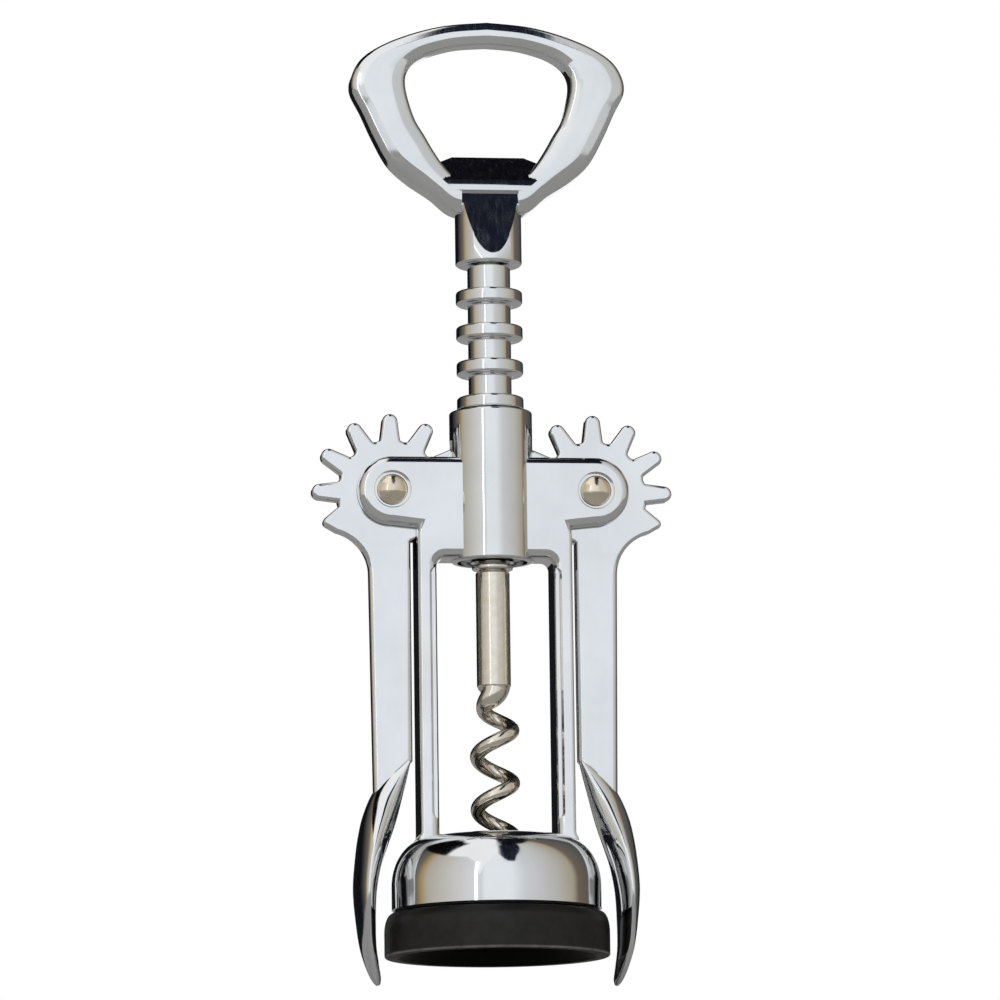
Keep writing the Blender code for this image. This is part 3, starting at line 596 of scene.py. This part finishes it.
def make_collar():
    top = COLLAR_RIM_Z + COLLAR_HEIGHT
    spigot = BELL_RADIUS - BELL_WALL - GAP
    lip = COLLAR_LIP
    mouth = COLLAR_BORE_RADIUS + COLLAR_FLARE
    profile = [(mouth + lip / 2, COLLAR_RIM_Z)]
    profile += arc((COLLAR_RADIUS - lip, COLLAR_RIM_Z + lip), lip, 270, 360, 6)
    for step in range(19):
        turn = math.radians(step * 5)
        swell = (COLLAR_RADIUS - BELL_RADIUS) * math.cos(turn)
        profile.append((BELL_RADIUS + swell, top + COLLAR_SHOULDER * (math.sin(turn) - 1)))
    profile += [
        (spigot, top), (spigot, top + COLLAR_SPIGOT), (COLLAR_BORE_RADIUS, top + COLLAR_SPIGOT),
        (COLLAR_BORE_RADIUS, COLLAR_RIM_Z + COLLAR_FLARE), (mouth, COLLAR_RIM_Z + lip / 2),
    ]
    piece = object_of("collar_moulding", revolve(profile))
    finish_piece(piece, "frame", "black_plastic", PLASTIC, "bottle_collar")


def make_rivets():
    under = FRAME_DEPTH / 2 - SPOT_DEPTH + GAP
    seat = FRAME_DEPTH / 2 - GAP
    radius = RIVET_RADIUS
    height = radius * RIVET_DOME_SHARE
    dome = (radius**2 + height**2) / (2 * height)
    sweep = math.degrees(math.asin(radius / dome))
    upper = arc((0, seat + height - dome), dome, 90, 90 - sweep, 14)
    upper[0] = (0, upper[0][1])
    upper += [(radius, under), (PIVOT_PIN_RADIUS, under)]
    profile = upper + [(out, -up) for out, up in reversed(upper)]
    for side, word in ((-1, "left"), (1, "right")):
        shape = revolve(profile, 64)
        turned = Matrix.Translation((side * PIVOT_SPREAD, 0, PIVOT_Z))
        turned = turned @ Matrix.Rotation(math.pi / 2, 4, "X")
        bmesh.ops.transform(shape, matrix=turned, verts=shape.verts)
        piece = object_of(f"{word}_rivet", shape)
        finish_piece(piece, "frame", "nickel_steel", RIVET, f"{word}_pivot_pin")


# Levers
def tooth_outline(angle):
    half_tip = TOOTH_TIP_WIDTH / 2
    half_foot = TOOTH_FOOT_WIDTH / 2
    foot = ROOT_RADIUS * math.cos(math.asin(half_foot / ROOT_RADIUS))
    local = [(foot, -half_foot)] + arc((TIP_RADIUS - half_tip, 0), half_tip, -90, 90, 14)
    local.append((foot, half_foot))
    cos, sin = math.cos(angle), math.sin(angle)
    return [(out * cos - side * sin, out * sin + side * cos) for out, side in local]


def lever_outline():
    tooth_step = math.tau / TEETH_PER_TURN
    points = []
    for index in range(TEETH_FROM_LEVEL):
        points += tooth_outline(index * tooth_step)
        if index == TEETH_FROM_LEVEL - 1:
            break
        for share in (-0.12, -0.06, 0.0, 0.06, 0.12):
            valley = (index + 0.5 + share) * tooth_step
            radius = ROOT_RADIUS - TOOTH_TIP_WIDTH / 8 * (1 - (share / 0.187) ** 2)
            points.append((radius * math.cos(valley), radius * math.sin(valley)))
    outer_x = ARM_INSET - ARM_WIDTH
    points += arc((0, 0), ROOT_RADIUS, 192, 196, 2)
    points += arc(arc((0, 0), STUB_REACH, STUB_TURN, STUB_TURN, 1)[0], STUB_ROUND, 130, 255, 12)
    points += arc((outer_x - ARM_FILLET, -ARM_FILLET_DROP), ARM_FILLET, 76, 0, 20)
    spring = -(PIVOT_Z - PADDLE_LENGTH)
    points += [
        (outer_x + ARM_TAPER, -ARM_LENGTH), (outer_x + ARM_WIDTH / 3, -ARM_LENGTH - ARM_WIDTH / 6),
        (ARM_INSET - ARM_WIDTH / 3, spring - ARM_WIDTH / 3), (ARM_INSET, spring),
    ]
    side_z = -math.sqrt(ROOT_RADIUS**2 - ARM_INSET**2)
    start = math.degrees(math.atan2(side_z, ARM_INSET))
    return points + arc((0, 0), ROOT_RADIUS, start, -15, 20)


def lever_edges(points):
    """Crisp edges on the teeth, broader ones down the arm."""
    edges = []
    for _, z in points:
        share = min(max((-z - ARM_EDGE_START) / ARM_EDGE_BLEND, 0.0), 1.0)
        edges.append(TOOTH_EDGE + (ARM_EDGE - TOOTH_EDGE) * share)
    return edges


def paddle_rings(spans, sides):
    spine = []
    for rise, sweep, width, outer, inner in smooth_rows(PADDLE_SHARES, spans):
        x = ARM_INSET - PADDLE_ROOT_SINK - sweep * PADDLE_SWEEP
        spine.append((Vector((x, 0, -PIVOT_Z + rise * PADDLE_LENGTH)), width, outer, inner))
    rings = []
    for index, (centre, width, outer, inner) in enumerate(spine):
        before = spine[max(index - 1, 0)][0]
        along = (spine[min(index + 1, len(spine) - 1)][0] - before).normalized()
        outward = Vector((along.z, 0, -along.x))
        half_width = width * PADDLE_WIDTH / 2
        ring = []
        for step in range(sides):
            turn = math.tau * step / sides
            lift = math.cos(turn)
            crown = (outer if lift > 0 else inner) * PADDLE_CROWN
            rim = min(PADDLE_RIM, crown / 2)
            height = abs(lift) ** PADDLE_LENS * (crown - rim) + abs(lift) ** 0.5 * rim
            side = Vector((0, half_width * math.sin(turn), 0))
            ring.append(centre + outward * math.copysign(height, lift) + side)
        rings.append(ring)
    return rings


def make_levers():
    for side, word in ((-1, "left"), (1, "right")):
        lever = object_of(f"{word}_lever_casting", loft(paddle_rings(6, 64)))
        outline = lever_outline()
        plate = object_of("plate", rounded_plate(outline, LEVER_THICKNESS, lever_edges(outline)))
        hole = object_of("hole", disc(PIVOT_PIN_RADIUS + GAP, LEVER_THICKNESS + 2 * OVERRUN, 48))
        worked(lever, [(plate, "UNION"), (hole, "DIFFERENCE")])
        turned = Matrix.Translation((side * PIVOT_SPREAD, 0, PIVOT_Z))
        if side > 0:
            turned = turned @ Matrix.Rotation(math.pi, 4, "Z")
        lever.data.transform(turned)
        finish_piece(lever, f"{word}_lever", "polished_chrome", CHROME, f"{word}_lever")


# Rack, worm and washer
def make_rack():
    top = HUB_BASE_Z - GAP
    outside = [(GROOVE_RADIUS, top)]
    lowest = math.ceil((SLEEVE_BASE_Z + RING_HEIGHT / 2 - PIVOT_Z) / RING_PITCH + 0.5)
    edge, fillet = RING_EDGE, GROOVE_FILLET
    for index in range(6, lowest - 1, -1):
        middle = PIVOT_Z + RING_PITCH * (index - 0.5)
        high, low = middle + RING_HEIGHT / 2, middle - RING_HEIGHT / 2
        outside += arc((GROOVE_RADIUS + fillet, high + fillet), fillet, 180, 270, 5)
        outside += arc((RING_RADIUS - edge, high - edge), edge, 90, 0, 7)
        outside += arc((RING_RADIUS - edge, low + edge), edge, 0, -90, 7)
        outside += arc((GROOVE_RADIUS + fillet, low - fillet), fillet, 90, 180, 5)
    outside.append((GROOVE_RADIUS, SLEEVE_BASE_Z))
    bore = SHAFT_RADIUS + GAP
    profile = outside + [(bore, SLEEVE_BASE_Z), (bore, top)]
    piece = object_of("ringed_rack", revolve(profile))
    finish_piece(piece, "rack", "polished_chrome", TURNED, "rack")


def tube_rings(stations, sides):
    rings = []
    across = Vector((1, 0, 0))
    for index, (centre, radius) in enumerate(stations):
        before = stations[max(index - 1, 0)][0]
        along = (stations[min(index + 1, len(stations) - 1)][0] - before).normalized()
        across = (across - along * across.dot(along)).normalized()
        beside = along.cross(across)
        turns = [math.tau * step / sides for step in range(sides)]
        rings.append([
            centre + (across * math.cos(turn) + beside * math.sin(turn)) * radius for turn in turns
        ])
    return rings


def make_worm():
    edge = 0.0004
    stations = [(HUB_BASE_Z + SHAFT_REACH, SHAFT_RADIUS), (SHANK_TOP_Z, SHAFT_RADIUS)]
    stations += [
        (up, out) for out, up in arc((SHANK_RADIUS - edge, SHANK_TOP_Z - edge), edge, 90, 0, 5)
    ]
    stations = [(Vector((0, 0, up)), out) for up, out in stations]
    stations.append((Vector((0, 0, SHANK_BASE_Z)), SHANK_RADIUS))
    steps = round(WORM_LENGTH / WORM_PITCH * 40)
    for step in range(1, steps + 1):
        fallen = WORM_LENGTH * step / steps
        swing = min(fallen / WORM_BLEND, 1.0)
        ease = swing * swing * (3 - 2 * swing)
        angle = math.tau * (0.82 - fallen / WORM_PITCH)
        sharp = min((WORM_LENGTH - fallen) / WORM_PITCH / 0.6, 1.0)
        neck = max(1 - fallen / (WORM_BLEND * 0.6), 0.0)
        radius = WORM_POINT_RADIUS + (WORM_WIRE_RADIUS - WORM_POINT_RADIUS) * sharp
        radius += (SHANK_RADIUS - WORM_WIRE_RADIUS) * neck
        out = WORM_RADIUS * ease
        centre = Vector((out * math.cos(angle), out * math.sin(angle), SHANK_BASE_Z - fallen))
        stations.append((centre, radius))
    worm = object_of("worm_wire", loft(tube_rings(stations, 40)))
    finish_piece(worm, "spindle", "nickel_steel", NICKEL, "worm")


def make_washer():
    low = WASHER_TOP_Z - WASHER_THICKNESS
    edge = 0.0003
    bore = SHAFT_RADIUS + GAP
    profile = arc((WASHER_RADIUS - edge, WASHER_TOP_Z - edge), edge, 90, 0, 5)
    profile += arc((WASHER_RADIUS - edge, low + edge), edge, 0, -90, 5)
    profile += [(bore, low), (bore, WASHER_TOP_Z)]
    piece = object_of("thrust_ring", revolve(profile, 96))
    finish_piece(piece, "spindle", "nickel_steel", BRIGHT_NICKEL, "thrust_washer")


# Handle
def loop_quarter(reach, depth):
    """A quarter of the loop's section: flat side, small round, slanted facet, flat face."""
    tilt = math.radians(LOOP_FACET_TILT)
    edge = min(LOOP_EDGE, reach * 0.45)
    facet = min(LOOP_FACET, reach * 0.3)
    side = 90 - LOOP_FACET_TILT
    crease = reach - edge - facet
    start = reach - edge + edge * math.cos(math.radians(side))
    fall = (start - crease) * math.tan(tilt)
    centre = (reach - edge, depth - fall - edge * math.sin(math.radians(side)))
    points = [(reach, centre[1] * 0.3)] + arc(centre, edge, 0, side, 8)
    for share in (0.88, 0.12):
        out = crease + (start - crease) * share
        points.append((out, depth - (out - crease) * math.tan(tilt)))
    return points + [(crease - 0.00012, depth), (crease * 0.4, depth)]


def loop_rings(spans):
    rows = [
        (*outer, *inner, depth)
        for outer, inner, depth in zip(LOOP_OUTER_SHARES, LOOP_INNER_SHARES, LOOP_DEPTH_SHARES)
    ]
    half = smooth_rows(rows, spans)
    full = half + [(-a, b, -c, d, e) for a, b, c, d, e in reversed(half[1:-1])]
    rings = []
    for outer_x, outer_z, inner_x, inner_z, depth in full:
        far = Vector((outer_x * LOOP_WIDTH / 2, 0, LOOP_BASE_Z + outer_z * LOOP_HEIGHT))
        near = Vector((inner_x * LOOP_WIDTH / 2, 0, LOOP_BASE_Z + inner_z * LOOP_HEIGHT))
        middle, reach = (far + near) / 2, (far - near) / 2
        across = reach.normalized()
        quarter = loop_quarter(reach.length, depth * LOOP_DEPTH / 2)
        half_ring = quarter + [(-out, up) for out, up in reversed(quarter)]
        section = half_ring + [(-out, -up) for out, up in half_ring]
        rings.append([middle + across * out + Vector((0, up, 0)) for out, up in section])
    return rings


def lip_shape():
    rings = []
    for drop, width, depth in LIP_SHARES:
        z = LIP_TOP_Z - drop * LIP_BEVEL
        x = width * LIP_WIDTH / 2
        y = (LIP_EDGE + depth * (LOOP_DEPTH - LIP_EDGE)) / 2
        rings.append([(-x, -y, z), (x, -y, z), (x, y, z), (-x, y, z)])
    return loft(rings)


def scoop_shape(side):
    """A slanted flat cut with a round foot, as a milling cutter leaves it."""
    low = HUB_TOP_Z - SCOOP_HEIGHT
    top = HUB_TOP_Z + GAP
    half = SCOOP_WIDTH / 2
    outline = [(-half, top)] + arc((0, low + half), half, 180, 360, 32) + [(half, top)]
    face = side * HUB_RADIUS
    slope = side * SCOOP_DEPTH / SCOOP_HEIGHT
    inner = [(x, face - slope * (z - low), z) for x, z in outline]
    outer = [(x, face + side * OVERRUN, z) for x, z in outline]
    return loft([inner, outer])


def make_handle():
    handle = object_of("handle_casting", loft(loop_rings(8), closed=True))
    edge = 0.0006
    hub = [(0, HUB_TOP_Z)] + arc((HUB_RADIUS - edge, HUB_TOP_Z - edge), edge, 90, 0, 6)
    hub += arc((HUB_RADIUS - edge, HUB_BASE_Z + edge), edge, 0, -90, 6) + [(0, HUB_BASE_Z)]
    top = HUB_BASE_Z + HUB_SOCKET_DEPTH
    below = HUB_BASE_Z - OVERRUN
    bore = SHAFT_RADIUS + GAP
    socket = [(0, top), (bore, top), (bore, below), (0, below)]
    steps = [
        (object_of("hub", revolve(hub, offset=0.5)), "UNION"),
        (object_of("lip", lip_shape()), "UNION"),
        (object_of("scoop", scoop_shape(-1)), "DIFFERENCE"),
        (object_of("scoop", scoop_shape(1)), "DIFFERENCE"),
        (object_of("socket", revolve(socket, 48)), "DIFFERENCE"),
    ]
    finish_piece(worked(handle, steps), "spindle", "polished_chrome", CHROME, "handle")


def make_cross_pin():
    radius = CROSS_PIN_RADIUS
    length = HUB_RADIUS - GAP
    edge = 0.0002
    profile = [(0, length)] + arc((radius - edge, length - edge), edge, 90, 0, 4)
    profile += [(out, -up) for out, up in reversed(profile)]
    shape = revolve(profile, 32)
    turned = Matrix.Translation((0, 0, HUB_BASE_Z + CROSS_PIN_RISE))
    turned = turned @ Matrix.Rotation(math.pi / 2, 4, "Y")
    bmesh.ops.transform(shape, matrix=turned, verts=shape.verts)
    piece = object_of("cross_pin", shape)
    finish_piece(piece, "spindle", "nickel_steel", BRIGHT_NICKEL, "handle_pin")


make_frame()
make_collar()
make_rivets()
make_levers()
make_rack()
make_worm()
make_washer()
make_handle()
make_cross_pin()


# Studio: pale panels in front, dark behind, a white backdrop, a pale floor and one tall lamp
BACKDROP_TURN = 172.5
FLOOR_Z = -0.0005
CAMERA_TURN = 7.5
CAMERA_TILT = 9
CAMERA_ROLL = 0.75
CAMERA_HEIGHT = 0.0899
CAMERA_SHIFT = 0.00156
CAMERA_DISTANCE = 1.285


def linear(value):
    share = value / 255
    return share / 12.92 if share <= 0.04045 else ((share + 0.055) / 1.055) ** 2.4


def grey(red, green=None, blue=None):
    return (linear(red), linear(green or red), linear(blue or red))


def make_world():
    world = bpy.data.worlds.new("studio")
    bpy.context.scene.world = world
    world.use_nodes = True
    tree = world.node_tree
    tree.nodes.clear()

    def node(kind, *inputs, **settings):
        made = tree.nodes.new(kind)
        for key, value in settings.items():
            setattr(made, key, value)
        for place, value in enumerate(inputs):
            if isinstance(value, bpy.types.NodeSocket):
                tree.links.new(value, made.inputs[place])
            elif value is not None:
                made.inputs[place].default_value = value
        return made

    def ramp(factor, stops):
        made = node("ShaderNodeValToRGB", factor)
        elements = made.color_ramp.elements
        while len(elements) < len(stops):
            elements.new(0.5)
        for element, (position, colour) in zip(elements, stops):
            element.position = position
            element.color = (*colour, 1)
        return made.outputs["Color"]

    split = node("ShaderNodeSeparateXYZ", node("ShaderNodeTexCoord").outputs["Generated"]).outputs
    back = node("ShaderNodeMath", split["Y"], -1.0, operation="MULTIPLY").outputs[0]
    turn = node("ShaderNodeMath", split["X"], back, operation="ARCTAN2").outputs[0]
    share = node("ShaderNodeMapRange", turn, -math.pi, math.pi, 0.0, 1.0).outputs[0]
    rise = node("ShaderNodeMath", split["Z"], operation="ARCSINE").outputs[0]

    def round_stops(stops):
        return [((angle + 180) / 360, colour) for angle, colour in stops]

    def seen_at(shift, low, high):
        inputs = (shift, low, high, 0.0, 1.0)
        made = node("ShaderNodeMapRange", *inputs, interpolation_type="SMOOTHSTEP")
        return made.outputs[0]

    def blend(factor, one, two):
        made = node("ShaderNodeMix", data_type="RGBA")
        sockets = [socket for socket in made.inputs if socket.enabled]
        for socket, value in zip(sockets, (factor, one, two)):
            tree.links.new(value, socket)
        return next(socket for socket in made.outputs if socket.enabled)

    walls = ramp(share, round_stops((
        (-180, grey(24, 26, 30)), (-141, grey(15, 16, 19)), (-131, grey(55)),
        (-106, grey(116, 110, 100)), (-100, grey(170, 142, 92)), (-90, grey(188, 181, 166)),
        (-38, grey(226, 226, 225)), (-24, grey(222, 226, 230)), (-20, grey(245, 250, 253)),
        (8, grey(242, 247, 251)), (25, grey(216, 218, 220)), (60, grey(199, 198, 191)),
        (86, grey(176, 165, 147)), (94, grey(118, 104, 90)), (125, grey(85, 88, 91)),
        (140, grey(66)), (152, grey(20)), (180, grey(24, 26, 30)),
    )))
    edges = ramp(share, [(place, (angle / 90,) * 3) for place, angle in round_stops((
        (-180, 42), (-46, 42), (-34, 34), (-25, 8), (-22, 24), (-10, 46), (-3, 48), (4, 36),
        (8, 33), (15, 33), (20, 44), (45, 71), (60, 77), (110, 77), (120, 60), (180, 60),
    ))])
    navy = (grey(24, 28, 40), grey(30, 33, 45))
    over = ramp(share, round_stops((
        (-180, grey(22, 24, 30)), (-136, grey(20, 22, 28)), (-130, grey(10, 9, 8)),
        (-80, grey(10, 9, 8)), (-74, grey(255)), (-6, grey(255)), (0, navy[0]), (70, navy[0]),
        (95, navy[1]), (180, navy[1]),
    )))
    top = ramp(share, round_stops((
        (-180, grey(22, 24, 30)), (-145, grey(40)), (-130, grey(255)), (-10, grey(255)),
        (8, grey(12, 12, 18)), (60, grey(14, 14, 20)), (180, navy[1]),
    )))
    angle = node("ShaderNodeMath", rise, 180 / math.pi, operation="MULTIPLY").outputs[0]
    scaled = node("ShaderNodeMath", edges, 90.0, operation="MULTIPLY").outputs[0]
    above = node("ShaderNodeMath", angle, scaled, operation="SUBTRACT").outputs[0]
    colour = blend(seen_at(above, -1.2, 1.2), walls, over)
    colour = blend(seen_at(angle, 68.0, 72.0), colour, top)
    room = node("ShaderNodeBackground", colour, 1.0).outputs[0]

    # The white backdrop: all round for the camera, and behind the object for metal and glass
    middle = math.radians(BACKDROP_TURN)
    aside = node("ShaderNodeMath", turn, middle, operation="SUBTRACT").outputs[0]
    aside = node("ShaderNodeMath", aside, operation="ABSOLUTE").outputs[0]
    behind = seen_at(aside, math.radians(13), math.radians(11))
    lifted = seen_at(angle, -22.0, -20.0)
    lowered = seen_at(angle, 27.0, 25.0)
    sector = node("ShaderNodeMath", behind, lifted, operation="MULTIPLY").outputs[0]
    sector = node("ShaderNodeMath", sector, lowered, operation="MULTIPLY").outputs[0]
    rays = node("ShaderNodeLightPath").outputs
    mirrors = (rays["Is Glossy Ray"], rays["Is Transmission Ray"])
    shiny = node("ShaderNodeMath", *mirrors, operation="MAXIMUM")
    mirrored = node("ShaderNodeMath", shiny.outputs[0], sector, operation="MULTIPLY").outputs[0]
    seen = node("ShaderNodeMath", rays["Is Camera Ray"], mirrored, operation="MAXIMUM").outputs[0]
    white = node("ShaderNodeBackground", (1.0, 1.0, 1.0, 1.0), 1.0).outputs[0]
    chosen = node("ShaderNodeMixShader", seen, room, white).outputs[0]
    node("ShaderNodeOutputWorld", chosen)


def make_floor():
    shape = bmesh.new()
    bmesh.ops.create_grid(shape, x_segments=8, y_segments=8, size=2.5)
    floor = object_of("floor", shape, (0, 0, FLOOR_Z))
    look = Look("pale_floor", grey(238), 0.0, 0.9)
    look.into("Roughness", look.span(look.noise(60.0), 0.85, 0.95))
    clear = look.node("ShaderNodeBsdfTransparent").outputs[0]
    under = look.node("ShaderNodeNewGeometry").outputs["Backfacing"]
    mixed = look.node("ShaderNodeMixShader", {0: under, 1: look.shader.outputs[0], 2: clear})
    look.tree.links.new(mixed.outputs[0], look.tree.nodes["Material Output"].inputs["Surface"])
    floor.data.materials.append(look.made)


def make_lamp(name, place, target, size, power, colour=(1.0, 1.0, 1.0)):
    light = bpy.data.lights.new(name, "AREA")
    light.shape = "RECTANGLE"
    light.size, light.size_y = size
    light.energy = power
    light.color = colour
    lamp = bpy.data.objects.new(name, light)
    lamp.location = place
    lamp.rotation_euler = (Vector(target) - Vector(place)).to_track_quat("-Z", "Y").to_euler()
    bpy.context.scene.collection.objects.link(lamp)


def make_camera():
    turn, tilt = math.radians(CAMERA_TURN), math.radians(CAMERA_TILT)
    roll = math.radians(CAMERA_ROLL)
    flat = math.cos(tilt)
    forward = Vector((math.sin(turn) * flat, math.cos(turn) * flat, math.sin(tilt)))
    level = forward.cross(Vector((0, 0, 1))).normalized()
    upright = level.cross(forward)
    up = math.cos(roll) * upright + math.sin(roll) * level
    right = math.cos(roll) * level - math.sin(roll) * upright
    target = Vector((0, 0, CAMERA_HEIGHT)) + level * CAMERA_SHIFT
    data = bpy.data.cameras.new("camera")
    data.lens = 250
    data.sensor_width = 36
    data.clip_start = 0.01
    camera = bpy.data.objects.new("camera", data)
    matrix = Matrix((right, up, -forward)).transposed().to_4x4()
    camera.matrix_world = Matrix.Translation(target - forward * CAMERA_DISTANCE) @ matrix
    bpy.context.scene.collection.objects.link(camera)
    bpy.context.scene.camera = camera


make_world()
make_floor()
make_lamp("tall_lamp", (-0.65, -1.15, 0.25), (0, 0, 0.09), (0.06, 1.1), 0.45)
make_camera()
bpy.context.scene.view_settings.view_transform = "Standard"
